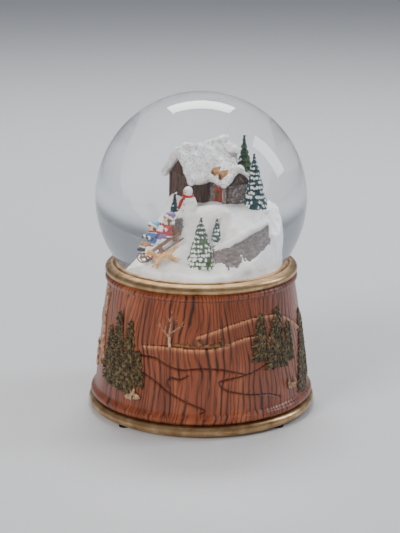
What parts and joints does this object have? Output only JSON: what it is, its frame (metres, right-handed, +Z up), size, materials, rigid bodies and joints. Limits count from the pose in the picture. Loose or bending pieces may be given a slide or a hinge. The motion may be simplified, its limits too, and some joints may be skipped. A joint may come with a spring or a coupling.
{
  "type": "musical snow globe",
  "caption": "Glass water globe with a snowy cottage scene, on a tall drum base of carved-look resin that holds a wind-up musical movement.",
  "frame": {"origin": "on the surface that the globe stands on, under its middle", "axes": "+Z up along the axis of base, neck and sphere; the front of the scene faces -Y; +X to the right"},
  "size_m": [0.131, 0.131, 0.1815],
  "materials": {
    "carved_resin": "cast resin painted as carved reddish wood, satin",
    "antique_gold": "antique gold paint, satin metallic",
    "clear_glass": "clear blown glass",
    "clear_fluid": "clear liquid",
    "adhesive": "clear epoxy",
    "stopper_rubber": "white moulded rubber",
    "foot_rubber": "black rubber",
    "black_plastic": "moulded black plastic",
    "snow_resin": "white painted resin with fine glitter",
    "rock_resin": "grey-brown painted resin",
    "plank_resin": "brown painted resin planks",
    "stone_resin": "grey painted resin stonework",
    "door_paint": "red painted resin",
    "tan_paint": "tan painted resin",
    "fir_green": "painted resin fir with snow tips",
    "fir_blue_green": "painted resin fir with snow tips",
    "scarf_red": "red painted resin",
    "coat_blue": "blue painted resin",
    "coat_red": "red painted resin",
    "fur_golden": "golden painted resin",
    "sled_brown": "brown painted resin",
    "flake_white": "white and pearl plastic flakes",
    "zinc_steel": "zinc plated steel",
    "movement_metal": "plated die casting",
    "gear_plastic": "white acetal",
    "spring_steel": "blued spring steel",
    "movement_brass": "brass"
  },
  "bodies": {
    "base": {"base_drum": "carved_resin", "base_plate": "black_plastic", "base_plate_screws": "zinc_steel", "boy_figure": "coat_blue", "collar_ring": "antique_gold", "comb_block": "movement_metal", "comb_screws": "movement_brass", "cottage_chimney": "stone_resin", "cottage_door": "door_paint", "cottage_roof": "snow_resin", "cottage_walls": "plank_resin", "cottage_wing": "stone_resin", "cylinder_brackets": "movement_metal", "dog_figure": "fur_golden", "fir_tree_dark": "fir_blue_green", "fir_tree_front": "fir_green", "fir_tree_large": "fir_blue_green", "fir_tree_small": "fir_blue_green", "fir_tree_tall": "fir_green", "foot_ring": "antique_gold", "girl_figure": "coat_red", "glass_globe": "clear_glass", "glitter_flakes": "flake_white", "globe_adhesive": "adhesive", "globe_fluid": "clear_fluid", "governor_bracket": "movement_metal", "mainspring": "spring_steel", "movement_bedplate": "movement_metal", "movement_screws": "zinc_steel", "rock_ledge": "rock_resin", "roof_dormers": "tan_paint", "rubber_feet": "foot_rubber", "rubber_stopper": "stopper_rubber", "sled": "sled_brown", "snow_mound": "snow_resin", "snowman": "snow_resin", "snowman_scarf": "scarf_red", "spring_housing": "zinc_steel", "tuned_comb": "spring_steel"},
    "key": {"winding_arbor": "spring_steel", "main_gear": "movement_brass", "winding_key": "zinc_steel"},
    "cylinder": {"cylinder_arbor": "spring_steel", "cylinder_pinion": "gear_plastic", "pinned_cylinder": "movement_brass", "cylinder_wheel": "gear_plastic"},
    "governor_wheel": {"governor_shaft": "spring_steel", "governor_pinion": "movement_brass", "worm_wheel": "gear_plastic"},
    "governor_fan": {"governor_worm": "spring_steel", "governor_fan": "gear_plastic"}
  },
  "joints": [
    {"name": "key_turn", "type": "hinge", "parent": "base", "child": "key", "pos_m": [0, 0, 0.014], "axis": [0, 0, 1], "range_deg": [0, 2070]},
    {"name": "cylinder_spin", "type": "hinge", "parent": "base", "child": "cylinder", "pos_m": [0.0232, 0, 0.0333], "axis": [1, 0, 0], "range_deg": [0, 4140]},
    {"name": "governor_wheel_spin", "type": "hinge", "parent": "base", "child": "governor_wheel", "pos_m": [0.0398, 0.0084, 0.0333], "axis": [1, 0, 0], "range_deg": [-12420, 0]},
    {"name": "governor_fan_spin", "type": "hinge", "parent": "base", "child": "governor_fan", "pos_m": [0.0398, 0.014, 0.0333], "axis": [0, 0, 1], "range_deg": [0, 248400]}
  ],
  "couplings": [
    {"joint": "cylinder_spin", "follows": "key_turn", "ratio": 2},
    {"joint": "governor_wheel_spin", "follows": "key_turn", "ratio": -6},
    {"joint": "governor_fan_spin", "follows": "key_turn", "ratio": 120}
  ]
}
